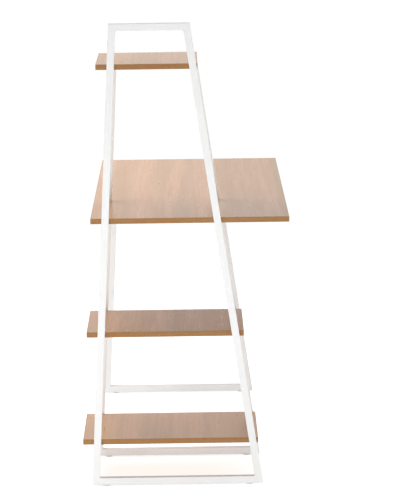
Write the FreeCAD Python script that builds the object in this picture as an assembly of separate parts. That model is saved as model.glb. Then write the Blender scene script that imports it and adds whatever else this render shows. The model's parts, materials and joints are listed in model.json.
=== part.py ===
# Computer desk with a shelf tower at one end.
# Millimetres, +Z up. X runs along the desk, with the tall outer frame at -X and the user at -Y.
# The origin lies on the floor, in the middle of the desk's outline.
# Depths ("u") are measured from the rear bottom corner of the frames towards the user.
import FreeCAD
import Part
import math
import os
from collections import namedtuple

Vector = FreeCAD.Vector

# Overall sizes
DESK_LENGTH = 1200.0                # outer frame's outer face to the far end of the desk top
DESK_HEIGHT = 750.0                 # floor to the writing surface
HUTCH_HEIGHT = 424.0                # writing surface to the top shelf's upper face
TOWER_RISE = 112.0                  # top shelf's upper face to the top of the outer frame
FRAME_FOOT_DEPTH = 474.0            # all frames, outside to outside along the bottom rail
FRAME_TOP_DEPTH = 221.0             # outer frame, outside to outside along the top rail
REAR_POST_LEAN = 66.0               # rear post's top, forward of its foot

# Square steel tube
TUBE = 20.0
TUBE_WALL = 1.2
TUBE_CORNER = 2.0                   # outside radius of the long corners

# Boards: laminated core with a glued band on each edge
BOARD_THICKNESS = 15.0
EDGE_BAND = 1.0
EDGE_ROUND = 0.6                    # radius on the bands' outer long edges
SHELF_LENGTH = 317.0                # between the outer and the inner frame
REAR_OVERHANG = 31.0                # every board, behind the rear posts
LOWER_SHELF_HEIGHT = 433.0          # floor to the shelf's upper face
BOTTOM_SHELF_HEIGHT = 130.0
TOP_SHELF_FRONT_OVERHANG = 3.0      # beyond the front leg's outer face
DESK_FRONT_OVERHANG = 188.0
LOWER_SHELF_FRONT_OVERHANG = 14.0
BOTTOM_SHELF_FRONT_OVERHANG = 6.0

# Welded tabs that carry the boards and hold the hutch down
TAB_LENGTH = 24.0                   # under the shelves
TAB_THICKNESS = 2.5
TAB_CORNER = 5.0                    # radius of the two free corners
TAB_SIDE = 1.0                      # tab is narrower than the tube by this much on each side

# Wood screws, driven upwards
SCREW_DIAMETER = 4.0
SCREW_HEAD_DIAMETER = 8.4
SCREW_HEAD_HEIGHT = 2.6
SCREW_COVER = 4.0                   # board left above a screw's point
SCREW_POINT = 3.0                   # length of the tapered point
RECESS_WIDTH = 1.1                  # cross recess in screw and bolt heads
RECESS_LENGTH = 4.6
RECESS_DEPTH = 1.3
CROWN_SHARE = 0.6                   # rounded share of a head's height
RAIL_SCREW_SHARES = (0.25, 0.75)    # places of the two screws along a frame's top rail
SUPPORT_SCREW_SHARES = (0.33, 0.67)  # and along the support rail

# Machine bolts, nuts and washers
BOLT_DIAMETER = 6.0
BOLT_HEAD_DIAMETER = 12.0
BOLT_HEAD_HEIGHT = 3.6
BOLT_PROTRUSION = 2.0               # thread showing past a nut
NUT_ACROSS_FLATS = 10.0
NUT_HEIGHT = 5.0
WASHER_DIAMETER = 16.0
WASHER_THICKNESS = 1.4
WASHER_GAP = 4.0                    # washer's rim to the frame beside it
PLATE_THICKNESS = 3.0               # lap plates under the support rail's ends

# Levelling feet, shown screwed right in
PAD_DIAMETER = 18.0
PAD_HEIGHT = 4.0
PAD_ROUND = 0.8
PAD_SOLE = 1.5                      # plastic under the stud's end
STUD_DIAMETER = 6.0
STUD_TIP_ROOM = 1.0                 # stud's tip to the tube's upper wall
STUD_CHAMFER = 0.6
FOOT_INSET = 38.0                   # foot's axis, from the end of the bottom rail

# Clearances
THREAD_FIT = 0.05                   # radial, screws, studs and bolts in their threads and seats
HOLE_CLEARANCE = 0.3                # radial, shanks through plain holes
POINT_ROOM = 0.3                    # pilot hole beyond a screw's point
CUT_OVERRUN = 1.0                   # hole cutters run past the faces that they open
ROUNDING_LIMIT = 0.9                # a rounding takes at most this share of its wall

SCREW_HOLE_RADIUS = SCREW_DIAMETER / 2.0 + HOLE_CLEARANCE
BOLT_HOLE_RADIUS = BOLT_DIAMETER / 2.0 + HOLE_CLEARANCE

# Stations along X
OUTER_X = -DESK_LENGTH / 2.0
BOARD_X = OUTER_X + TUBE            # all boards start at the outer frame's inner face
INNER_X = BOARD_X + SHELF_LENGTH    # the inner frame and the hutch stand against the shelves' ends
END_X = DESK_LENGTH / 2.0 - TUBE

FRAME_X = {"outer_frame": OUTER_X, "inner_frame": INNER_X, "end_frame": END_X}
DESK_UNDERSIDE = DESK_HEIGHT - BOARD_THICKNESS
TOP_SHELF_HEIGHT = DESK_HEIGHT + HUTCH_HEIGHT
TOWER_HEIGHT = TOP_SHELF_HEIGHT + TOWER_RISE

Board = namedtuple("Board", "top rear front start end")
Fixing = namedtuple("Fixing", "board x u grip")


def climb(z):
    """Share of the frame's height at height z."""
    return (z - PAD_HEIGHT) / (TOWER_HEIGHT - PAD_HEIGHT)


def rear_face(z):
    """Depth of the rear posts' outer face at height z."""
    return REAR_POST_LEAN * climb(z)


def front_face(z):
    """Depth of the front legs' outer face at height z."""
    top_depth = REAR_POST_LEAN + FRAME_TOP_DEPTH
    return FRAME_FOOT_DEPTH + (top_depth - FRAME_FOOT_DEPTH) * climb(z)


def post_centre(side, z):
    """Depth of a leaning post's centre line at height z."""
    face = rear_face if side == "rear" else front_face
    slope = face(z + 1.0) - face(z)
    half_width = TUBE / 2.0 * math.hypot(1.0, slope)
    return face(z) + (half_width if side == "rear" else -half_width)


def board(top, front_overhang, end):
    """A board between the outer frame and end, carried at height top."""
    return Board(top, rear_face(top) - REAR_OVERHANG, front_face(top) + front_overhang, BOARD_X, end)


BOARDS = {
    "top_shelf": board(TOP_SHELF_HEIGHT, TOP_SHELF_FRONT_OVERHANG, INNER_X),
    "desk_top": board(DESK_HEIGHT, DESK_FRONT_OVERHANG, DESK_LENGTH / 2.0),
    "lower_shelf": board(LOWER_SHELF_HEIGHT, LOWER_SHELF_FRONT_OVERHANG, INNER_X),
    "bottom_shelf": board(BOTTOM_SHELF_HEIGHT, BOTTOM_SHELF_FRONT_OVERHANG, INNER_X),
}

# The depth that lies over the origin
REARMOST = min([0.0] + [item.rear for item in BOARDS.values()])
FOREMOST = max([FRAME_FOOT_DEPTH] + [item.front for item in BOARDS.values()])
MIDDLE_DEPTH = (REARMOST + FOREMOST) / 2.0


def at(x, u, z):
    """A point, from its station, its depth and its height."""
    return Vector(x, MIDDLE_DEPTH - u, z)


def upright(radius, x, u, low, high):
    """A vertical cylinder."""
    return Part.makeCylinder(radius, high - low, at(x, u, low))


def block(x_low, x_high, u_low, u_high, z_low, z_high):
    """A box between two stations, two depths and two heights."""
    corner = at(x_low, u_high, z_low)
    return Part.makeBox(x_high - x_low, u_high - u_low, z_high - z_low, corner)


def cut_all(shape, tools):
    """The shape with every tool cut away."""
    return shape.cut(tools) if tools else shape


# Tubes

def rounded_bar(side, radius, length):
    """A square bar along +Z, with rounded long corners."""
    bar = Part.makeBox(side, side, length, Vector(-side / 2.0, -side / 2.0, 0.0))
    if radius <= 0.0:
        return bar
    corners = [edge for edge in bar.Edges if abs(edge.tangentAt(edge.FirstParameter).z) > 0.5]
    return bar.makeFillet(radius, corners)


def tube_blank(length):
    """A straight square tube along +Z, from the origin."""
    inside = rounded_bar(TUBE - 2.0 * TUBE_WALL, TUBE_CORNER - TUBE_WALL, length)
    return rounded_bar(TUBE, TUBE_CORNER, length).cut(inside)


def meet(point, along, other, other_along):
    """Where two lines in the frame's plane cross."""
    turn = along[0] * other_along[1] - along[1] * other_along[0]
    gap = (other[0] - point[0], other[1] - point[1])
    share = (gap[0] * other_along[1] - gap[1] * other_along[0]) / turn
    return (point[0] + along[0] * share, point[1] + along[1] * share)


def inset(outline, distance):
    """A convex outline, listed anticlockwise in depth and height, moved inwards."""
    lines = []
    for start, end in zip(outline, outline[1:] + outline[:1]):
        length = math.dist(start, end)
        along = ((end[0] - start[0]) / length, (end[1] - start[1]) / length)
        moved = (start[0] - along[1] * distance, start[1] + along[0] * distance)
        lines.append((moved, along))
    return [meet(*before, *after) for before, after in zip(lines[-1:] + lines[:-1], lines)]


def mitred_tube(x, start, end, start_cut, end_cut):
    """A tube in the frame's plane between two centre-line points, cut along a direction at each."""
    run = at(0.0, *end) - at(0.0, *start)
    spare = 2.0 * TUBE
    along = Vector(run).normalize()
    blank = tube_blank(run.Length + 2.0 * spare)
    blank.Placement = FreeCAD.Placement(
        at(x + TUBE / 2.0, *start) - along * spare,
        FreeCAD.Rotation(Vector(0.0, 0.0, 1.0), along),
    )
    corners = []
    for point, cut, reach in ((start, start_cut, (-spare, spare)), (end, end_cut, (spare, -spare))):
        size = math.hypot(*cut)
        corners += [(point[0] + cut[0] * s / size, point[1] + cut[1] * s / size) for s in reach]
    ring = [at(x - TUBE, *corner) for corner in corners]
    kept = Part.Face(Part.makePolygon(ring + ring[:1])).extrude(Vector(3.0 * TUBE, 0.0, 0.0))
    return blank.common(kept)


def leaning_outline(low, high):
    """Outside of a frame between two heights, anticlockwise from the rear foot."""
    return [
        (rear_face(low), low),
        (front_face(low), low),
        (front_face(high), high),
        (rear_face(high), high),
    ]


def mitres(outline):
    """Centre-line corners of a closed frame, and the direction of the mitre at each."""
    centres = inset(outline, TUBE / 2.0)
    return centres, [(c[0] - o[0], c[1] - o[1]) for c, o in zip(centres, outline)]


def closed_frame(x, high):
    """Four mitred tubes of a floor-standing frame."""
    centres, cuts = mitres(leaning_outline(PAD_HEIGHT, high))
    names = ("bottom_rail", "front_leg", "top_rail", "rear_post")
    tubes = {}
    for index, name in enumerate(names):
        after = (index + 1) % len(names)
        tubes[name] = mitred_tube(x, centres[index], centres[after], cuts[index], cuts[after])
    return tubes


def hutch_frame():
    """Two posts that stand on the desk top, and the rail that joins them behind the top shelf."""
    centres, cuts = mitres(leaning_outline(DESK_HEIGHT, TOP_SHELF_HEIGHT))
    front_corner, rear_corner = centres[2:]
    front_mitre, rear_mitre = cuts[2:]
    rear_foot = (post_centre("rear", DESK_HEIGHT), DESK_HEIGHT)
    front_foot = (post_centre("front", DESK_HEIGHT), DESK_HEIGHT)
    rearwards, forwards = (-1.0, 0.0), (1.0, 0.0)
    return {
        "front_post": mitred_tube(INNER_X, front_foot, front_corner, rearwards, front_mitre),
        "top_rail": mitred_tube(INNER_X, front_corner, rear_corner, front_mitre, rear_mitre),
        "rear_post": mitred_tube(INNER_X, rear_corner, rear_foot, rear_mitre, forwards),
    }


# Boards

def underside(name):
    """Height of a board's lower face."""
    return BOARDS[name].top - BOARD_THICKNESS


def board_core(name, holes):
    """A board inside its edge bands, with its screw holes."""
    item = BOARDS[name]
    core = block(
        item.start + EDGE_BAND, item.end - EDGE_BAND,
        item.rear + EDGE_BAND, item.front - EDGE_BAND,
        underside(name), item.top,
    )
    return cut_all(core, holes)


def eased(strip, outward):
    """An edge band with its two outer long edges rounded."""
    faces = [face for face in strip.Faces if face.normalAt(0.0, 0.0).dot(outward) > 0.9]
    level = [edge for edge in faces[0].Edges if abs(edge.tangentAt(edge.FirstParameter).z) < 0.5]
    return strip.makeFillet(min(EDGE_ROUND, EDGE_BAND * ROUNDING_LIMIT), level)


def edge_bands(name):
    """Four strips round a board: the end strips cover the ends of the long ones."""
    item = BOARDS[name]
    low, high = underside(name), item.top
    inner_start, inner_end = item.start + EDGE_BAND, item.end - EDGE_BAND
    rear, front = item.rear, item.front
    near = block(item.start, inner_start, rear, front, low, high)
    far = block(inner_end, item.end, rear, front, low, high)
    back = block(inner_start, inner_end, rear, rear + EDGE_BAND, low, high)
    face = block(inner_start, inner_end, front - EDGE_BAND, front, low, high)
    return Part.makeCompound([
        eased(near, Vector(-1.0, 0.0, 0.0)),
        eased(far, Vector(1.0, 0.0, 0.0)),
        eased(back, Vector(0.0, 1.0, 0.0)),
        eased(face, Vector(0.0, -1.0, 0.0)),
    ])


# Tabs and fasteners

def tab(face_x, reach, u, low, hole_radius):
    """A plate welded to a post's flat face, reaching along X, with a hole in its middle."""
    half = TUBE / 2.0 - TAB_SIDE
    high = low + TAB_THICKNESS
    tip_x = face_x + reach
    plate = block(min(face_x, tip_x), max(face_x, tip_x), u - half, u + half, low, high)
    free = [
        edge for edge in plate.Edges
        if abs(edge.tangentAt(edge.FirstParameter).z) > 0.5 and abs(edge.CenterOfMass.x - tip_x) < 0.01
    ]
    plate = plate.makeFillet(min(TAB_CORNER, half * ROUNDING_LIMIT), free)
    hole = upright(hole_radius, face_x + reach / 2.0, u, low - CUT_OVERRUN, high + CUT_OVERRUN)
    return plate.cut(hole)


def cross_recess(x, u, low):
    """The cross cut into a head from height low upwards."""
    half_long, half_wide = RECESS_LENGTH / 2.0, RECESS_WIDTH / 2.0
    high = low + RECESS_DEPTH
    first = block(x - half_long, x + half_long, u - half_wide, u + half_wide, low, high)
    second = block(x - half_wide, x + half_wide, u - half_long, u + half_long, low, high)
    return first.fuse(second)


def head(x, u, seat, upward, diameter, height):
    """A pan head on a seat. With upward set the shank points up and the head hangs below."""
    low, high = (seat - height, seat) if upward else (seat, seat + height)
    shape = upright(diameter / 2.0, x, u, low, high)
    crown = low if upward else high
    rim = [edge for edge in shape.Edges if edge.Closed and abs(edge.CenterOfMass.z - crown) < 0.01]
    shape = shape.makeFillet(height * CROWN_SHARE, rim)
    return shape.cut(cross_recess(x, u, low if upward else high - RECESS_DEPTH))


def screw_bite():
    """How far a wood screw goes into a board."""
    return BOARD_THICKNESS - SCREW_COVER


def seat_height(fixing):
    """Height of the face that a wood screw's head bears on."""
    return underside(fixing.board) - fixing.grip


def wood_screw(fixing):
    """A screw driven upwards through a tab or a rail into a board."""
    seat = seat_height(fixing)
    tip = underside(fixing.board) + screw_bite()
    radius = SCREW_DIAMETER / 2.0
    shank = upright(radius, fixing.x, fixing.u, seat, tip - SCREW_POINT)
    point = Part.makeCone(radius, radius / 5.0, SCREW_POINT, at(fixing.x, fixing.u, tip - SCREW_POINT))
    crown = head(fixing.x, fixing.u, seat, True, SCREW_HEAD_DIAMETER, SCREW_HEAD_HEIGHT)
    return crown.fuse([shank, point]).removeSplitter()


def pilot_hole(fixing):
    """The hole in a board that a wood screw bites into."""
    low = underside(fixing.board)
    high = low + screw_bite() + POINT_ROOM
    return upright(SCREW_DIAMETER / 2.0 + THREAD_FIT, fixing.x, fixing.u, low, high)


def rail_hole(fixing):
    """The hole right through a rail for a wood screw."""
    return upright(SCREW_HOLE_RADIUS, fixing.x, fixing.u, seat_height(fixing), underside(fixing.board))


def bolt(x, u, seat, tip):
    """A machine bolt from the seat of its head to its tip, up or down."""
    shank = upright(BOLT_DIAMETER / 2.0, x, u, min(seat, tip), max(seat, tip))
    crown = head(x, u, seat, tip > seat, BOLT_HEAD_DIAMETER, BOLT_HEAD_HEIGHT)
    return crown.fuse(shank).removeSplitter()


def nut(x, u, low, thread):
    """A hexagon nut for a thread of the given diameter."""
    radius = NUT_ACROSS_FLATS / math.sqrt(3.0)
    high = low + NUT_HEIGHT
    turns = [step * math.pi / 3.0 for step in range(6)]
    ring = [at(x + radius * math.cos(turn), u + radius * math.sin(turn), low) for turn in turns]
    body = Part.Face(Part.makePolygon(ring + ring[:1])).extrude(Vector(0.0, 0.0, NUT_HEIGHT))
    return body.cut(upright(thread / 2.0 + THREAD_FIT, x, u, low - CUT_OVERRUN, high + CUT_OVERRUN))


def washer(x, u, low):
    """A flat washer."""
    high = low + WASHER_THICKNESS
    hole = upright(BOLT_HOLE_RADIUS, x, u, low - CUT_OVERRUN, high + CUT_OVERRUN)
    return upright(WASHER_DIAMETER / 2.0, x, u, low, high).cut(hole)


# Levelling feet

def foot_pad(x, u):
    """A plastic disc with a seat for its stud."""
    disc = upright(PAD_DIAMETER / 2.0, x, u, 0.0, PAD_HEIGHT)
    rims = [edge for edge in disc.Edges if edge.Closed and edge.CenterOfMass.z < PAD_HEIGHT / 2.0]
    disc = disc.makeFillet(min(PAD_ROUND, PAD_SOLE * ROUNDING_LIMIT), rims)
    seat = upright(STUD_DIAMETER / 2.0 + THREAD_FIT, x, u, PAD_SOLE, PAD_HEIGHT + CUT_OVERRUN)
    return disc.cut(seat)


def foot_stud(x, u):
    """A threaded stud from the pad's seat up into the bottom rail."""
    tip = PAD_HEIGHT + TUBE - TUBE_WALL - STUD_TIP_ROOM
    stud = upright(STUD_DIAMETER / 2.0, x, u, PAD_SOLE, tip)
    end = [edge for edge in stud.Edges if edge.Closed and abs(edge.CenterOfMass.z - tip) < 0.01]
    return stud.makeChamfer(STUD_CHAMFER, end)


FOOT_DEPTHS = {"rear": FOOT_INSET, "front": FRAME_FOOT_DEPTH - FOOT_INSET}
FEET = {
    f"{frame}_{side}_foot": (x + TUBE / 2.0, u)
    for frame, x in FRAME_X.items()
    for side, u in FOOT_DEPTHS.items()
}

# Where the boards are fixed

SIDES = ("rear", "front")
SHELVES = ("lower_shelf", "bottom_shelf")
SUPPORT_DEPTH = (rear_face(DESK_UNDERSIDE) + front_face(DESK_UNDERSIDE)) / 2.0
SUPPORT_START = INNER_X + TUBE
LAP = TUBE - TAB_SIDE               # each half of a lap plate


def tab_fixings(names, face_x, toward):
    """One screw under each named board at each post, through a tab on the post's face."""
    found = []
    for name in names:
        for side in SIDES:
            u = post_centre(side, underside(name) - TAB_THICKNESS / 2.0)
            found.append(Fixing(name, face_x + toward * TAB_LENGTH / 2.0, u, TAB_THICKNESS))
    return found


def rail_fixings(x):
    """Two screws through a frame's top rail into the desk top."""
    rear, front = rear_face(DESK_UNDERSIDE), front_face(DESK_UNDERSIDE)
    depths = [rear + (front - rear) * share for share in RAIL_SCREW_SHARES]
    return [Fixing("desk_top", x, u, TUBE) for u in depths]


OUTER_FIXINGS = tab_fixings(BOARDS, BOARD_X, 1.0)
INNER_FIXINGS = tab_fixings(SHELVES, INNER_X, -1.0)
HUTCH_FIXINGS = tab_fixings(("top_shelf",), INNER_X, -1.0)
TAB_FIXINGS = OUTER_FIXINGS + INNER_FIXINGS + HUTCH_FIXINGS

INNER_RAIL_FIXINGS = rail_fixings(INNER_X + TUBE / 2.0)
END_RAIL_FIXINGS = rail_fixings(END_X + TUBE / 2.0)
SUPPORT_FIXINGS = [
    Fixing("desk_top", SUPPORT_START + (END_X - SUPPORT_START) * share, SUPPORT_DEPTH, TUBE)
    for share in SUPPORT_SCREW_SHARES
]
RAIL_FIXINGS = INNER_RAIL_FIXINGS + END_RAIL_FIXINGS + SUPPORT_FIXINGS

# The hutch's feet are bolted through the desk top, on the posts' faces away from the shelves.
HUTCH_TAB_LENGTH = WASHER_DIAMETER + 2.0 * WASHER_GAP
HUTCH_BOLT_X = INNER_X + TUBE + HUTCH_TAB_LENGTH / 2.0
HUTCH_BOLT_DEPTHS = [post_centre(side, DESK_HEIGHT + TAB_THICKNESS / 2.0) for side in SIDES]

# The support rail's lap plates are bolted up into the frames' top rails.
LAP_BOLT_STATIONS = (INNER_X + TUBE / 2.0, END_X + TUBE / 2.0)
LAP_TOP = DESK_UNDERSIDE - TUBE


def tabs_for(fixings, face_x, toward):
    """The tabs under a list of fixings."""
    reach = toward * TAB_LENGTH
    return Part.makeCompound([tab(face_x, reach, f.u, seat_height(f), SCREW_HOLE_RADIUS) for f in fixings])


def lap_plate(frame_joint, toward):
    """A plate half under the support rail and half under a frame's top rail."""
    half = TUBE / 2.0 - TAB_SIDE
    low, high = LAP_TOP - PLATE_THICKNESS, LAP_TOP
    plate = block(
        frame_joint - LAP, frame_joint + LAP, SUPPORT_DEPTH - half, SUPPORT_DEPTH + half, low, high,
    )
    hole_x = frame_joint + toward * TUBE / 2.0
    hole = upright(BOLT_HOLE_RADIUS, hole_x, SUPPORT_DEPTH, low - CUT_OVERRUN, high + CUT_OVERRUN)
    return plate.cut(hole)


def build_frames():
    """Every tube, with its holes."""
    parts = {}
    for frame, x in FRAME_X.items():
        height = TOWER_HEIGHT if frame == "outer_frame" else DESK_UNDERSIDE
        for name, tube in closed_frame(x, height).items():
            parts[f"{frame}_{name}"] = tube
        stud_holes = [
            upright(STUD_DIAMETER / 2.0 + HOLE_CLEARANCE, x + TUBE / 2.0, u, 0.0, PAD_HEIGHT + TUBE / 2.0)
            for u in FOOT_DEPTHS.values()
        ]
        rail = f"{frame}_bottom_rail"
        parts[rail] = cut_all(parts[rail], stud_holes)
    for name, tube in hutch_frame().items():
        parts[f"hutch_{name}"] = tube
    for frame, fixings in (("inner_frame", INNER_RAIL_FIXINGS), ("end_frame", END_RAIL_FIXINGS)):
        x = FRAME_X[frame] + TUBE / 2.0
        lap_hole = upright(BOLT_HOLE_RADIUS, x, SUPPORT_DEPTH, LAP_TOP - CUT_OVERRUN, LAP_TOP + TUBE / 2.0)
        holes = [rail_hole(fixing) for fixing in fixings] + [lap_hole]
        parts[f"{frame}_top_rail"] = cut_all(parts[f"{frame}_top_rail"], holes)
    return parts


def build_support():
    """The rail under the desk top, and how its ends are bolted to the frames."""
    rail = tube_blank(END_X - SUPPORT_START)
    rail.Placement = FreeCAD.Placement(
        at(SUPPORT_START, SUPPORT_DEPTH, DESK_UNDERSIDE - TUBE / 2.0),
        FreeCAD.Rotation(Vector(0.0, 1.0, 0.0), 90.0),
    )
    nut_low = LAP_TOP + TUBE_WALL
    tip = nut_low + NUT_HEIGHT + BOLT_PROTRUSION
    seat = LAP_TOP - PLATE_THICKNESS
    u = SUPPORT_DEPTH
    plates = [lap_plate(SUPPORT_START, -1.0), lap_plate(END_X, 1.0)]
    bolts = [bolt(x, u, seat, tip) for x in LAP_BOLT_STATIONS]
    nuts = [nut(x, u, nut_low, BOLT_DIAMETER) for x in LAP_BOLT_STATIONS]
    return {
        "desk_support_rail": cut_all(rail, [rail_hole(fixing) for fixing in SUPPORT_FIXINGS]),
        "support_rail_lap_plates": Part.makeCompound(plates),
        "support_rail_bolts": Part.makeCompound(bolts),
        "support_rail_nuts": Part.makeCompound(nuts),
    }


def build_boards():
    """The four boards and their edge bands."""
    parts = {}
    for name in BOARDS:
        holes = [pilot_hole(fixing) for fixing in TAB_FIXINGS + RAIL_FIXINGS if fixing.board == name]
        if name == "desk_top":
            holes += [
                upright(BOLT_HOLE_RADIUS, HUTCH_BOLT_X, u, DESK_UNDERSIDE, DESK_HEIGHT)
                for u in HUTCH_BOLT_DEPTHS
            ]
        parts[name] = board_core(name, holes)
        parts[f"{name}_edge_bands"] = edge_bands(name)
    return parts


def build_fasteners():
    """Tabs, screws, bolts, nuts and washers."""
    tab_top = DESK_HEIGHT + TAB_THICKNESS
    nut_top = DESK_UNDERSIDE - WASHER_THICKNESS
    tip = nut_top - NUT_HEIGHT - BOLT_PROTRUSION
    hutch_face = INNER_X + TUBE
    x = HUTCH_BOLT_X
    depths = HUTCH_BOLT_DEPTHS
    foot_tabs = [tab(hutch_face, HUTCH_TAB_LENGTH, u, DESK_HEIGHT, BOLT_HOLE_RADIUS) for u in depths]
    foot_bolts = [bolt(x, u, tab_top, tip) for u in depths]
    foot_washers = [washer(x, u, nut_top) for u in depths]
    foot_nuts = [nut(x, u, nut_top - NUT_HEIGHT, BOLT_DIAMETER) for u in depths]
    return {
        "outer_frame_tabs": tabs_for(OUTER_FIXINGS, BOARD_X, 1.0),
        "inner_frame_tabs": tabs_for(INNER_FIXINGS, INNER_X, -1.0),
        "hutch_shelf_tabs": tabs_for(HUTCH_FIXINGS, INNER_X, -1.0),
        "hutch_foot_tabs": Part.makeCompound(foot_tabs),
        "hutch_foot_bolts": Part.makeCompound(foot_bolts),
        "hutch_foot_washers": Part.makeCompound(foot_washers),
        "hutch_foot_nuts": Part.makeCompound(foot_nuts),
        "shelf_tab_screws": Part.makeCompound([wood_screw(fixing) for fixing in TAB_FIXINGS]),
        "desk_rail_screws": Part.makeCompound([wood_screw(fixing) for fixing in RAIL_FIXINGS]),
    }


def build_feet():
    """Six levelling feet and the nuts welded inside the bottom rails."""
    parts = {}
    for name, (x, u) in FEET.items():
        parts[f"{name}_pad"] = foot_pad(x, u)
        parts[f"{name}_stud"] = foot_stud(x, u)
    nut_low = PAD_HEIGHT + TUBE_WALL
    nuts = [nut(x, u, nut_low, STUD_DIAMETER) for x, u in FEET.values()]
    parts["foot_weld_nuts"] = Part.makeCompound(nuts)
    return parts


def build():
    """Every node of the desk."""
    parts = build_frames()
    parts.update(build_support())
    parts.update(build_boards())
    parts.update(build_fasteners())
    parts.update(build_feet())
    return parts


os.makedirs("parts", exist_ok=True)
for node, shape in build().items():
    shape.exportStep(f"parts/{node}.step")
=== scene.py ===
# Looks of a computer desk with a shelf tower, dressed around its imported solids.
# Metres, in the frame of the solids: +Z up, X along the desk with the tower at -X, the user at -Y.
import json
import math
from collections import namedtuple

import bmesh
import bpy
from mathutils import Euler, Matrix, Vector

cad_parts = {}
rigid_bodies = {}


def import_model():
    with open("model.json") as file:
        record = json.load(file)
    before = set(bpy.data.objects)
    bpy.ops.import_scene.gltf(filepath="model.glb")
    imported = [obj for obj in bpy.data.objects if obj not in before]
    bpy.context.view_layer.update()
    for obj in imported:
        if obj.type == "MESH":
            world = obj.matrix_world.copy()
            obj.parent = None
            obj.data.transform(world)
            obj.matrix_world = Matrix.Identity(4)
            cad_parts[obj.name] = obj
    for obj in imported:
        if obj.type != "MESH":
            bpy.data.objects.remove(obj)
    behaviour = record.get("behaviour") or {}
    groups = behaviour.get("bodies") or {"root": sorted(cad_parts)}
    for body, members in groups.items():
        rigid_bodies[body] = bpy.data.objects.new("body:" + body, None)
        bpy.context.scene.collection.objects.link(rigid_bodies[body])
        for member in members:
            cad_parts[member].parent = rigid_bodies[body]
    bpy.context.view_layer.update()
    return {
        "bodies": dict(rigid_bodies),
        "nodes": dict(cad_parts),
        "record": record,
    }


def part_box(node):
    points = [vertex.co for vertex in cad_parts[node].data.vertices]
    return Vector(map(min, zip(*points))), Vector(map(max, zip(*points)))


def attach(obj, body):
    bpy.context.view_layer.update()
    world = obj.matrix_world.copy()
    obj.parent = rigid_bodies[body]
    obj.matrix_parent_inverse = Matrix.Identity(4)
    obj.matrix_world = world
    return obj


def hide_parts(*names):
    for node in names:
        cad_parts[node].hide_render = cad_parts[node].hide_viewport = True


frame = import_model()
nodes = frame["nodes"]

MM = 0.001

FRAMES = ("outer_frame", "inner_frame", "end_frame")
SIDES = ("rear", "front")
FEET = [f"{prefix}_{side}_foot" for prefix in FRAMES for side in SIDES]
# Boards, each with a factor on its laminate's tones that paints in light and shade: the lower shelf darker as
# painted shade under the desk top, the bottom shelf lighter as painted light
BOARDS_WITH_PAINTED_SHADE = {"top_shelf": 0.96, "desk_top": 0.98, "lower_shelf": 0.92, "bottom_shelf": 1.11}

# Camera at the photograph's viewing angle: it looks along the desk from the tower's end
CAMERA_PLACE = (-8.15246, -0.01505, 1.95434)
CAMERA_TILT = math.radians(9.704)       # below the horizon
CAMERA_TURN = math.radians(0.324)       # towards the user's side
CAMERA_ROLL = math.radians(-0.725)
CAMERA_LENS = 201.41                    # millimetres, on the sensor's width
CAMERA_SENSOR = 36.0

# Studio light
DOME_LIGHT = 0.44                       # what the surroundings give to the object, where 1 is white
Softbox = namedtuple("Softbox", "place target width height watts")
SOFTBOXES = {
    "overhead_softbox": Softbox((0.5, 0.8, 1.9), (0.5, 0.78, 0.0), 1.6, 0.8, 20.0),
    "front_softbox": Softbox((-3.2, 0.3, 0.4), (-0.5, 0.0, 0.4), 1.8, 0.8, 35.0),
    "user_softbox": Softbox((-0.2, -2.2, 0.5), (-0.2, 0.0, 0.3), 2.0, 0.7, 16.0),
    "rear_softbox": Softbox((-0.2, 2.2, 0.5), (-0.2, 0.0, 0.3), 2.0, 0.7, 6.6),
}
WHITE = (1.0, 1.0, 1.0, 1.0)
FLOOR_REACH = 40.0
FLOOR_COLOUR = (0.90, 0.90, 0.90, 1.0)  # as it lights the object
FLOOR_LIFT = 0.62                       # brought up to white where the camera or a reflection sees it

# Wood grain. Features per metre along and across it, detail and twist of the noise,
# the stretch of the noise that shows, and how far it goes towards the layer's tone
Grain = namedtuple("Grain", "along across detail twist low high share")
BAND = Grain(0.5, 16.0, 2.0, 0.5, 0.32, 0.68, 1.0)
STREAK = Grain(3.5, 110.0, 3.0, 0.3, 0.40, 0.72, 0.26)
LINE = Grain(4.5, 420.0, 2.0, 0.2, 0.52, 0.70, 0.45)
FIBRE = Grain(22.0, 1100.0, 2.0, 0.0, 0.45, 0.75, 0.40)
PORE = Grain(70.0, 2300.0, 1.0, 0.0, 0.58, 0.68, 0.60)
Tones = namedtuple("Tones", "pale middle dark pore")
BOARD_SHIFT = Vector((0.37, 0.95, 0.29))    # from one board's figure to the next

# Wood-grain laminate
LAMINATE_TONES = Tones(
    pale=(0.678, 0.372, 0.192),
    middle=(0.490, 0.271, 0.114),
    dark=(0.427, 0.215, 0.095),
    pore=(0.269, 0.125, 0.051),
)
LAMINATE_ROUGHNESS = (0.27, 0.31)
LAMINATE_RELIEF = (0.02 * MM, 0.08)     # depth and strength

# Edge band
BAND_TONES = Tones(
    pale=(0.388, 0.194, 0.064),
    middle=(0.352, 0.172, 0.057),
    dark=(0.273, 0.126, 0.040),
    pore=(0.169, 0.074, 0.024),
)
BAND_ROUGHNESS = (0.40, 0.50)
BAND_RELIEF = (0.03 * MM, 0.30)

# White powder coat. Scales are features per metre
COAT_TONES = ((0.875, 0.878, 0.872), (0.905, 0.906, 0.900))
COAT_SPECK_TONE = (0.80, 0.80, 0.79)
COAT_CLOUDS = 9.0
COAT_PEEL = 650.0
COAT_SPECKS = 2600.0
COAT_SPECK_RANGE = (0.62, 0.75)         # stretch of the noise that shows as specks
COAT_SPECK_SHARE = 0.25
COAT_SPECK_HEIGHT = 0.2                 # beside the peel's
COAT_ROUGHNESS = (0.34, 0.42)
COAT_RELIEF = (0.06 * MM, 0.35)

# Zinc plated steel
ZINC_TONES = ((0.56, 0.57, 0.59), (0.72, 0.72, 0.71))
ZINC_PATCHES = 260.0
ZINC_MARKS = (600.0, 600.0, 6000.0)
ZINC_ROUGHNESS = (0.26, 0.44)
ZINC_RELIEF = (0.02 * MM, 0.25)

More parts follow.
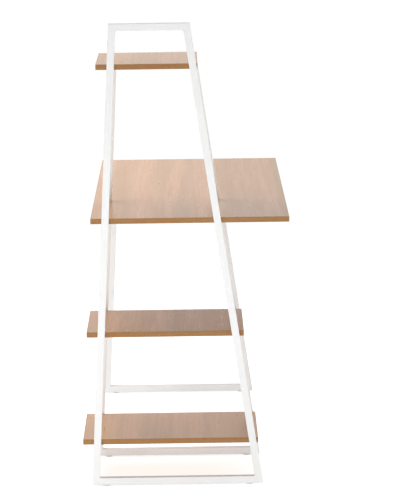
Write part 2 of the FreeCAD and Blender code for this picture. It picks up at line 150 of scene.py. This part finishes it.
# White moulded plastic
PLASTIC_TONES = ((0.78, 0.78, 0.76), (0.84, 0.84, 0.82))
PLASTIC_CLOUDS = 120.0
PLASTIC_GRIT = 3200.0
PLASTIC_ROUGHNESS = (0.48, 0.60)
PLASTIC_RELIEF = (0.05 * MM, 0.40)
PLASTIC_IOR = 1.46

LACQUER_IOR = 1.5                       # laminate, edge band and powder coat
NOISE_RANGE = (0.3, 0.7)                # where most of a noise lies

# Square tube and its weld beads
TUBE_CORNER = 2.0 * MM
CORNER_BEAD_LEG = 2.4 * MM
TAB_BEAD_LEG = 1.8 * MM
TAB_BEAD_INSET = 1.0 * MM               # from each side of a tab or plate
RIPPLE_PITCH = 1.5 * MM
RIPPLE_STEPS = 6                        # rings along each ripple
RIPPLE_DEPTH = 0.13                     # share of the leg
RIPPLE_LEAD = 0.4                       # how far a ripple's middle runs ahead, share of the pitch
LEAD_FADE = 6.0                         # how fast that lead fades towards the far end
BEAD_SEGMENTS = 8                       # across the bead
BEAD_CROWN = 0.82                       # under 1 is a rounded bead, 1 is flat
BEAD_SINK = 0.25 * MM                   # bead's root, below both faces
BEAD_END = 0.45                         # size of a bead's ends, share of the leg
BEAD_SWELL = 4.0                        # how fast it grows from there
TABS = {
    # tab: which way along X it reaches, and whether its bead lies above it
    "outer_frame_tab": (1.0, False),
    "inner_frame_tab": (-1.0, False),
    "hutch_shelf_tab": (-1.0, False),
    "hutch_foot_tab": (1.0, True),
}
LEVEL_TOLERANCE = 0.05 * MM             # points this near a level lie on it
MERGE_DISTANCE = 0.001 * MM
SORT_DIGITS = 5                         # of a place in metres

# Threaded studs of the feet
THREAD_PITCH = 1.0 * MM
THREAD_DEPTH = 0.55 * MM
THREAD_RINGS = 10                       # per turn
THREAD_SEGMENTS = 32
FLANK_SLOPE = 2.6                       # thread's rise from root to crest, over half a pitch
FLANK_ROOT = 0.15                       # and how far it starts below the root, which leaves the root flat
STUD_CHAMFER = 0.6 * MM

# Moulded pads of the feet
PAD_FLUTES = 18
FLUTE_DEPTH = 0.45 * MM
FLUTE_SEGMENTS = 8                      # per flute
STUD_SEAT_GAP = 0.05 * MM
PAD_MIDDLE = 0.10                       # radius of the innermost rings, share of the rim
HOLLOW_DEPTH = 0.4 * MM
HOLLOW_BOTTOM = 0.58                    # radius of the sole's hollow, share of the rim
HOLLOW_MOUTH = 0.62
SOLE_ROUND = (
    # inward from the rim, height above the sole, share of the flutes
    (1.3 * MM, 0.0, 0.0),
    (0.5 * MM, 0.25 * MM, 0.3),
    (0.0, 0.9 * MM, 1.0),
)
TOP_ROUND = (
    # inward from the rim, depth below the top, share of the flutes
    (0.0, 1.2 * MM, 1.0),
    (0.25 * MM, 0.72 * MM, 0.8),
    (0.9 * MM, 0.28 * MM, 0.2),
    (1.7 * MM, 0.28 * MM, 0.0),
)
COLLAR_FOOT = 1.9 * MM                  # width of the raised collar round the seat, at its foot
COLLAR_TOP = 1.4 * MM
COLLAR_HEIGHT = 0.28 * MM


# Node helpers

# Sockets of the Mix node where it mixes colours
MIX_SHARE = 0
MIX_FIRST = 6
MIX_SECOND = 7
MIX_RESULT = 2


def node(tree, kind, inputs=None, **settings):
    """Adds a node. Inputs that are sockets are linked, and others are set."""
    made = tree.nodes.new(kind)
    for name, value in settings.items():
        setattr(made, name, value)
    for key, value in (inputs or {}).items():
        if isinstance(value, bpy.types.NodeSocket):
            tree.links.new(value, made.inputs[key])
        else:
            made.inputs[key].default_value = value
    return made


def new_material(name):
    """A material with an empty node tree, and its output node."""
    made = bpy.data.materials.new(name)
    made.use_nodes = True
    tree = made.node_tree
    tree.nodes.clear()
    return made, tree, tree.nodes.new("ShaderNodeOutputMaterial")


def math_node(tree, operation, first, second):
    """The result of one sum."""
    return node(tree, "ShaderNodeMath", {0: first, 1: second}, operation=operation).outputs[0]


def vector_node(tree, operation, first, second):
    """The result of one sum of vectors."""
    return node(tree, "ShaderNodeVectorMath", {0: first, 1: second}, operation=operation).outputs[0]


def place(tree, offset=(0.0, 0.0, 0.0)):
    """The object's own coordinates in metres, after an offset."""
    return vector_node(tree, "ADD", node(tree, "ShaderNodeTexCoord").outputs["Object"], offset)


def noise(tree, vector, scale=1.0, detail=2.0, twist=0.0):
    """Smooth noise from 0 to 1."""
    inputs = {"Vector": vector, "Scale": scale, "Detail": detail, "Distortion": twist}
    return node(tree, "ShaderNodeTexNoise", inputs, noise_dimensions="3D").outputs[0]


def spread(tree, value, old, new=(0.0, 1.0)):
    """A value taken from one range to another, and kept inside it."""
    inputs = {"Value": value, "From Min": old[0], "From Max": old[1], "To Min": new[0], "To Max": new[1]}
    return node(tree, "ShaderNodeMapRange", inputs, clamp=True).outputs[0]


def opaque(colour):
    """A colour with full opacity. A socket stays as it is."""
    return colour if isinstance(colour, bpy.types.NodeSocket) else (*colour, 1.0)


def tint(tree, share, first, second):
    """A colour between two, each of them a colour or a socket."""
    inputs = {MIX_SHARE: share, MIX_FIRST: opaque(first), MIX_SECOND: opaque(second)}
    return node(tree, "ShaderNodeMix", inputs, data_type="RGBA").outputs[MIX_RESULT]


def bump(tree, height, relief):
    """A normal from a height."""
    depth, strength = relief
    inputs = {"Height": height, "Distance": depth, "Strength": strength}
    return node(tree, "ShaderNodeBump", inputs).outputs[0]


def shade(tree, output, inputs):
    """The surface shader, joined to the output."""
    surface = node(tree, "ShaderNodeBsdfPrincipled", inputs)
    tree.links.new(surface.outputs[0], output.inputs["Surface"])


# Materials

def grain_layer(tree, along, grain):
    """One layer of the wood: its noise, and how far each place goes towards the layer's tone."""
    level = noise(tree, along(grain.along, grain.across), detail=grain.detail, twist=grain.twist)
    return level, spread(tree, level, (grain.low, grain.high), (0.0, grain.share))


def wood_colour(tree, along, tones):
    """Bands, streaks, lines, fibres and pores. along() stretches a place along and across the grain."""
    _, bands = grain_layer(tree, along, BAND)
    streak, streaks = grain_layer(tree, along, STREAK)
    _, lines = grain_layer(tree, along, LINE)
    fibre, fibres = grain_layer(tree, along, FIBRE)
    _, pores = grain_layer(tree, along, PORE)
    tone = tint(tree, bands, tones.middle, tones.pale)
    for share in (streaks, lines, fibres):
        tone = tint(tree, share, tone, tones.dark)
    return tint(tree, pores, tone, tones.pore), streak, fibre, pores


def laminate(name, offset, painted_light_and_shade):
    """Wood-grain laminate with its grain along the desk. The offset gives each board its own figure, and the
    board's factor lightens or darkens its tones as painted light and shade.
    """
    made, tree, output = new_material(name)
    here = place(tree, offset)

    def along(slow, fast):
        return vector_node(tree, "MULTIPLY", here, (slow, fast, fast))

    # Tones scaled by the board's factor: painted light and shade, not the laminate's own colour
    tones = Tones(*[tuple(painted_light_and_shade * value for value in tone) for tone in LAMINATE_TONES])
    tone, streak, fibre, pores = wood_colour(tree, along, tones)
    height = math_node(tree, "SUBTRACT", fibre, pores)
    shade(tree, output, {
        "Base Color": tone,
        "Roughness": spread(tree, streak, NOISE_RANGE, LAMINATE_ROUGHNESS),
        "IOR": LACQUER_IOR,
        "Normal": bump(tree, height, LAMINATE_RELIEF),
    })
    return made


def edge_band(name, offset):
    """Wood-coloured edge band, with its grain along each band's length."""
    made, tree, output = new_material(name)
    x, y, z = node(tree, "ShaderNodeSeparateXYZ", {0: place(tree, offset)}).outputs
    run = math_node(tree, "ADD", x, y)
    unrolled = node(tree, "ShaderNodeCombineXYZ", {0: run, 1: z, 2: x}).outputs[0]

    def along(slow, fast):
        return vector_node(tree, "MULTIPLY", unrolled, (slow, fast, slow))

    tone, streak, fibre, _ = wood_colour(tree, along, BAND_TONES)
    shade(tree, output, {
        "Base Color": tone,
        "Roughness": spread(tree, streak, NOISE_RANGE, BAND_ROUGHNESS),
        "IOR": LACQUER_IOR,
        "Normal": bump(tree, fibre, BAND_RELIEF),
    })
    return made


def powder_coat(name):
    """Satin white powder coat with a fine orange peel."""
    made, tree, output = new_material(name)
    here = place(tree)
    cloud = noise(tree, here, scale=COAT_CLOUDS, detail=3.0)
    peel = noise(tree, here, scale=COAT_PEEL, detail=1.5)
    speck = noise(tree, here, scale=COAT_SPECKS, detail=1.0)
    specks = spread(tree, speck, COAT_SPECK_RANGE, (0.0, COAT_SPECK_SHARE))
    tone = tint(tree, spread(tree, cloud, NOISE_RANGE), *COAT_TONES)
    height = math_node(tree, "ADD", peel, math_node(tree, "MULTIPLY", speck, COAT_SPECK_HEIGHT))
    shade(tree, output, {
        "Base Color": tint(tree, specks, tone, COAT_SPECK_TONE),
        "Roughness": spread(tree, cloud, NOISE_RANGE, COAT_ROUGHNESS),
        "IOR": LACQUER_IOR,
        "Normal": bump(tree, height, COAT_RELIEF),
    })
    return made


def zinc_plate(name):
    """Zinc plated steel with fine turning marks and dull patches."""
    made, tree, output = new_material(name)
    here = place(tree)
    patch = noise(tree, here, scale=ZINC_PATCHES, detail=3.0)
    marks = noise(tree, vector_node(tree, "MULTIPLY", here, ZINC_MARKS), detail=1.0)
    shade(tree, output, {
        "Base Color": tint(tree, spread(tree, patch, NOISE_RANGE), *ZINC_TONES),
        "Metallic": 1.0,
        "Roughness": spread(tree, patch, NOISE_RANGE, ZINC_ROUGHNESS),
        "Normal": bump(tree, marks, ZINC_RELIEF),
    })
    return made


def moulded_plastic(name):
    """White moulded plastic with a fine spark-eroded texture."""
    made, tree, output = new_material(name)
    here = place(tree)
    cloud = noise(tree, here, scale=PLASTIC_CLOUDS, detail=2.0)
    grit = noise(tree, here, scale=PLASTIC_GRIT, detail=2.0)
    shade(tree, output, {
        "Base Color": tint(tree, spread(tree, cloud, NOISE_RANGE), *PLASTIC_TONES),
        "Roughness": spread(tree, grit, NOISE_RANGE, PLASTIC_ROUGHNESS),
        "IOR": PLASTIC_IOR,
        "Normal": bump(tree, grit, PLASTIC_RELIEF),
    })
    return made


SLOT_MATERIALS = {
    "white_frame": powder_coat("white_powder_coat"),
    "zinc_steel": zinc_plate("zinc_plated_steel"),
    "foot_plastic": moulded_plastic("white_moulded_plastic"),
}


def dress(name, material):
    """Gives a solid its material."""
    nodes[name].data.materials.clear()
    nodes[name].data.materials.append(material)


def dress_solids():
    """Every solid gets its material, and each board a figure of its own and a factor that paints light and
    shade into its laminate's tones.
    """
    for row in frame["record"]["subparts"]:
        if row["material_slot"] in SLOT_MATERIALS:
            dress(row["node"], SLOT_MATERIALS[row["material_slot"]])
    # Each board's factor paints light or shade into its laminate
    for index, (board, painted_light_and_shade) in enumerate(BOARDS_WITH_PAINTED_SHADE.items()):
        shift = BOARD_SHIFT * (index + 1)
        bands = f"{board}_edge_bands"
        dress(board, laminate(f"{board}_wood", shift, painted_light_and_shade))
        dress(bands, edge_band(f"{bands}_wood", shift))


# Meshes

def finish_piece(name, mesh, body, slot, smooth=True):
    """A named piece from a finished bmesh, riding on a body."""
    bmesh.ops.recalc_face_normals(mesh, faces=mesh.faces)
    data = bpy.data.meshes.new(name)
    mesh.to_mesh(data)
    mesh.free()
    for face in data.polygons:
        face.use_smooth = smooth
    data.materials.append(SLOT_MATERIALS[slot])
    piece = bpy.data.objects.new(name, data)
    bpy.context.scene.collection.objects.link(piece)
    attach(piece, body)
    return piece


def skin(mesh, rings):
    """Quads between rings of points, with a face over each end."""
    made = [[mesh.verts.new(point) for point in ring] for ring in rings]
    count = len(rings[0])
    for before, after in zip(made, made[1:]):
        for index in range(count):
            following = (index + 1) % count
            mesh.faces.new((before[index], before[following], after[following], after[index]))
    mesh.faces.new(made[0])
    mesh.faces.new(made[-1])


# Weld beads

def add_bead(mesh, start, end, first_face, second_face, leg):
    """A rippled weld bead along an inside corner, between two faces that run away from it."""
    run = end - start
    along = run.normalized()
    first = first_face.normalized()
    second = second_face.normalized()
    root_sink = -(first + second).normalized() * BEAD_SINK
    ripples = max(1, round(run.length / RIPPLE_PITCH))
    steps = ripples * RIPPLE_STEPS
    rings = []
    for step in range(steps + 1):
        share = step / steps
        phase = (step / RIPPLE_STEPS) % 1.0
        taper = min(1.0, BEAD_END + BEAD_SWELL * min(share, 1.0 - share))
        size = leg * taper * (1.0 - RIPPLE_DEPTH * phase)
        lead = RIPPLE_LEAD * RIPPLE_PITCH * min(1.0, LEAD_FADE * (1.0 - share))
        centre = start + run * share
        ring = [centre + root_sink]
        for segment in range(BEAD_SEGMENTS + 1):
            turn = segment / BEAD_SEGMENTS
            reach = first * (1.0 - turn) ** BEAD_CROWN + second * turn ** BEAD_CROWN
            ring.append(centre + reach * size + along * (lead * math.sin(math.pi * turn)))
        rings.append(ring)
    skin(mesh, rings)


def inner_corners(rail, top):
    """Depths of a frame's rear and front inside corners at one of its rails, and their level."""
    low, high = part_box(rail)
    level = high.z if top else low.z
    points = [vertex.co for vertex in nodes[rail].data.vertices]
    depths = [point.y for point in points if abs(point.z - level) < LEVEL_TOLERANCE]
    return max(depths), min(depths), level


def post_slope(name):
    """A leaning post's run in Y for each metre of height, from its upper and lower quarters."""
    low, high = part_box(name)
    points = [vertex.co for vertex in nodes[name].data.vertices]
    quarter = (high.z - low.z) / 4.0
    upper = max(point.y for point in points if point.z > high.z - quarter)
    lower = max(point.y for point in points if point.z < low.z + quarter)
    return (upper - lower) / (high.z - low.z)


def corner_welds(name, rails, rear_post, front_post):
    """Beads in the inside corners of one frame. Each rail says whether its top or its underside is inside."""
    mesh = bmesh.new()
    for rail, top in rails:
        low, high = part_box(rail)
        rear, front, level = inner_corners(rail, top)
        upward = 1.0 if top else -1.0
        for depth, post, inward in ((rear, rear_post, -1.0), (front, front_post, 1.0)):
            start = Vector((low.x + TUBE_CORNER, depth, level))
            end = Vector((high.x - TUBE_CORNER, depth, level))
            rail_face = Vector((0.0, inward, 0.0))
            post_face = Vector((0.0, post_slope(post), 1.0)) * upward
            add_bead(mesh, start, end, rail_face, post_face, CORNER_BEAD_LEG)
    finish_piece(name, mesh, "desk", "white_frame")


def build_corner_welds():
    """Beads where the mitred tubes meet."""
    for prefix in FRAMES:
        rails = [(f"{prefix}_bottom_rail", True), (f"{prefix}_top_rail", False)]
        corner_welds(f"{prefix}_corner_welds", rails, f"{prefix}_rear_post", f"{prefix}_front_leg")
    corner_welds("hutch_corner_welds", [("hutch_top_rail", False)], "hutch_rear_post", "hutch_front_post")


def box_of(points):
    """Lowest and highest corners of some points."""
    low = Vector(tuple(min(point[axis] for point in points) for axis in range(3)))
    high = Vector(tuple(max(point[axis] for point in points) for axis in range(3)))
    return low, high


def solid_boxes(name):
    """Boxes of a node's separate solids, in a steady order."""
    mesh = bmesh.new()
    mesh.from_mesh(nodes[name].data)
    bmesh.ops.remove_doubles(mesh, verts=mesh.verts, dist=MERGE_DISTANCE)
    waiting = set(mesh.verts)
    boxes = []
    while waiting:
        reached = [waiting.pop()]
        for vertex in reached:
            for edge in vertex.link_edges:
                other = edge.other_vert(vertex)
                if other in waiting:
                    waiting.remove(other)
                    reached.append(other)
        boxes.append(box_of([vertex.co for vertex in reached]))
    mesh.free()
    return sorted(boxes, key=lambda box: tuple(round(value, SORT_DIGITS) for value in box[0]))


def cross_bead(mesh, x, low, high, level, first_face, second_face):
    """A bead across a tab or plate, at one end of it."""
    start = Vector((x, low.y + TAB_BEAD_INSET, level))
    end = Vector((x, high.y - TAB_BEAD_INSET, level))
    add_bead(mesh, start, end, Vector(first_face), Vector(second_face), TAB_BEAD_LEG)


def build_tab_welds():
    """Beads along the tabs' roots, which hold them to the posts."""
    for tab, (toward, above) in TABS.items():
        mesh = bmesh.new()
        for low, high in solid_boxes(f"{tab}s"):
            root = low.x if toward > 0.0 else high.x
            level = high.z if above else low.z
            upward = 1.0 if above else -1.0
            cross_bead(mesh, root, low, high, level, (toward, 0.0, 0.0), (0.0, 0.0, upward))
        finish_piece(f"{tab}_welds", mesh, "desk", "white_frame")


def build_plate_welds():
    """Beads across the lap plates' inner ends, which hold them to the support rail's underside."""
    mesh = bmesh.new()
    rail_low, rail_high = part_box("desk_support_rail")
    rail_middle = (rail_low.x + rail_high.x) / 2.0
    for low, high in solid_boxes("support_rail_lap_plates"):
        toward = 1.0 if high.x < rail_middle else -1.0
        inner_end = high.x if toward > 0.0 else low.x
        cross_bead(mesh, inner_end, low, high, high.z, (toward, 0.0, 0.0), (0.0, 0.0, -1.0))
    finish_piece("support_rail_plate_welds", mesh, "desk", "white_frame")


# Levelling feet

def round_ring(centre, radius_at, height, segments):
    """A level ring of points about an upright axis, with a radius for each angle."""
    ring = []
    for segment in range(segments):
        angle = 2.0 * math.pi * segment / segments
        radius = radius_at(angle)
        x = centre.x + radius * math.cos(angle)
        y = centre.y + radius * math.sin(angle)
        ring.append(Vector((x, y, height)))
    return ring


def threaded_stud(foot):
    """A stud with a real thread, in place of the plain one."""
    name = f"{foot}_stud"
    low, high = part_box(name)
    centre = (low + high) / 2.0
    crest = (high.x - low.x) / 2.0
    length = high.z - low.z
    steps = round(length / THREAD_PITCH * THREAD_RINGS)
    rings = []
    for step in range(steps + 1):
        height = low.z + length * step / steps

        def radius_at(angle, height=height):
            phase = (height / THREAD_PITCH - angle / (2.0 * math.pi)) % 1.0
            rise = min(1.0, max(0.0, FLANK_SLOPE * abs(phase - 0.5) - FLANK_ROOT))
            thread = crest - THREAD_DEPTH * (1.0 - rise)
            chamfer = crest - STUD_CHAMFER + (high.z - height)
            return min(thread, chamfer)

        rings.append(round_ring(centre, radius_at, height, THREAD_SEGMENTS))
    mesh = bmesh.new()
    skin(mesh, rings)
    piece = finish_piece(f"{foot}_threaded_stud", mesh, foot, "zinc_steel")
    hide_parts(name)


def pad_profile(rim, seat, sole, top, seat_floor):
    """Radius, height and share of the flutes, from the middle of the sole round to the bottom of the seat."""
    hollow = sole + HOLLOW_DEPTH
    shoulder = top - COLLAR_HEIGHT
    return [
        (PAD_MIDDLE * rim, hollow, 0.0),
        (HOLLOW_BOTTOM * rim, hollow, 0.0),
        (HOLLOW_MOUTH * rim, sole, 0.0),
        *[(rim - inward, sole + up, flutes) for inward, up, flutes in SOLE_ROUND],
        *[(rim - inward, top - down, flutes) for inward, down, flutes in TOP_ROUND],
        (seat + COLLAR_FOOT, shoulder, 0.0),
        (seat + COLLAR_TOP, top, 0.0),
        (seat, top, 0.0),
        (seat, seat_floor, 0.0),
        (PAD_MIDDLE * rim, seat_floor, 0.0),
    ]


def moulded_pad(foot):
    """A pad with a fluted rim, a hollowed sole and a seat for its stud, in place of the plain disc."""
    name = f"{foot}_pad"
    low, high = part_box(name)
    stud_low, stud_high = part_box(f"{foot}_stud")
    centre = (low + high) / 2.0
    rim = (high.x - low.x) / 2.0
    seat = (stud_high.x - stud_low.x) / 2.0 + STUD_SEAT_GAP
    rings = []
    for radius, height, flutes in pad_profile(rim, seat, low.z, high.z, stud_low.z):

        def radius_at(angle, radius=radius, flutes=flutes):
            wave = 0.5 - 0.5 * math.cos(PAD_FLUTES * angle)
            return radius - FLUTE_DEPTH * flutes * wave ** 2

        rings.append(round_ring(centre, radius_at, height, PAD_FLUTES * FLUTE_SEGMENTS))
    mesh = bmesh.new()
    skin(mesh, rings)
    piece = finish_piece(f"{foot}_moulded_pad", mesh, foot, "foot_plastic", smooth=False)
    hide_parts(name)


def build_feet():
    """Six levelling feet."""
    for foot in FEET:
        threaded_stud(foot)
        moulded_pad(foot)


# Stage

def seen_directly(tree):
    """1 for the camera and for reflections, 0 for light that bounces onto the object."""
    path = node(tree, "ShaderNodeLightPath").outputs
    either = math_node(tree, "MAXIMUM", path["Is Camera Ray"], path["Is Glossy Ray"])
    return math_node(tree, "MAXIMUM", either, path["Is Transmission Ray"])


def floor_material():
    """Matt white that the camera and reflections see brighter than the object does."""
    made, tree, output = new_material("pale_floor")
    matt = node(tree, "ShaderNodeBsdfDiffuse", {"Color": FLOOR_COLOUR})
    strength = math_node(tree, "MULTIPLY", seen_directly(tree), FLOOR_LIFT)
    lift = node(tree, "ShaderNodeEmission", {"Strength": strength})
    both = node(tree, "ShaderNodeAddShader", {0: matt.outputs[0], 1: lift.outputs[0]})
    tree.links.new(both.outputs[0], output.inputs["Surface"])
    return made


def build_floor():
    """A wide white floor that keeps the desk's shadow. It lies under whichever foot reaches lowest."""
    mesh = bmesh.new()
    bmesh.ops.create_grid(mesh, x_segments=1, y_segments=1, size=FLOOR_REACH)
    data = bpy.data.meshes.new("floor")
    mesh.to_mesh(data)
    mesh.free()
    data.materials.append(floor_material())
    floor = bpy.data.objects.new("floor", data)
    bpy.context.scene.collection.objects.link(floor)
    for foot in FEET:
        under = floor.constraints.new("FLOOR")
        under.target = frame["bodies"][foot]
        under.floor_location = "FLOOR_NEGATIVE_Z"


def build_world():
    """White surroundings: plain light on the object, white where they are seen."""
    world = bpy.data.worlds.new("surroundings")
    bpy.context.scene.world = world
    world.use_nodes = True
    tree = world.node_tree
    tree.nodes.clear()
    strength = spread(tree, seen_directly(tree), (0.0, 1.0), (DOME_LIGHT, 1.0))
    back = node(tree, "ShaderNodeBackground", {"Color": WHITE, "Strength": strength})
    output = tree.nodes.new("ShaderNodeOutputWorld")
    tree.links.new(back.outputs[0], output.inputs["Surface"])


def build_lamps():
    """Large soft lamps, which themselves stay out of sight."""
    for name, softbox in SOFTBOXES.items():
        light = bpy.data.lights.new(name, "AREA")
        light.shape = "RECTANGLE"
        light.size = softbox.width
        light.size_y = softbox.height
        light.energy = softbox.watts
        lamp = bpy.data.objects.new(name, light)
        lamp.location = softbox.place
        aim = Vector(softbox.target) - Vector(softbox.place)
        lamp.rotation_euler = aim.to_track_quat("-Z", "Y").to_euler()
        lamp.visible_camera = False
        lamp.visible_glossy = False
        bpy.context.scene.collection.objects.link(lamp)


def build_camera():
    """The photograph's view."""
    data = bpy.data.cameras.new("camera")
    data.lens = CAMERA_LENS
    data.sensor_width = CAMERA_SENSOR
    data.clip_end = 2.0 * FLOOR_REACH
    camera = bpy.data.objects.new("camera", data)
    turn = Euler((math.pi / 2.0 - CAMERA_TILT, 0.0, -math.pi / 2.0 - CAMERA_TURN))
    roll = Matrix.Rotation(CAMERA_ROLL, 4, "Z")
    camera.matrix_world = Matrix.Translation(CAMERA_PLACE) @ turn.to_matrix().to_4x4() @ roll
    bpy.context.scene.collection.objects.link(camera)
    bpy.context.scene.camera = camera


dress_solids()
build_corner_welds()
build_tab_welds()
build_plate_welds()
build_feet()
build_floor()
build_world()
build_lamps()
build_camera()
bpy.context.scene.view_settings.view_transform = "Standard"
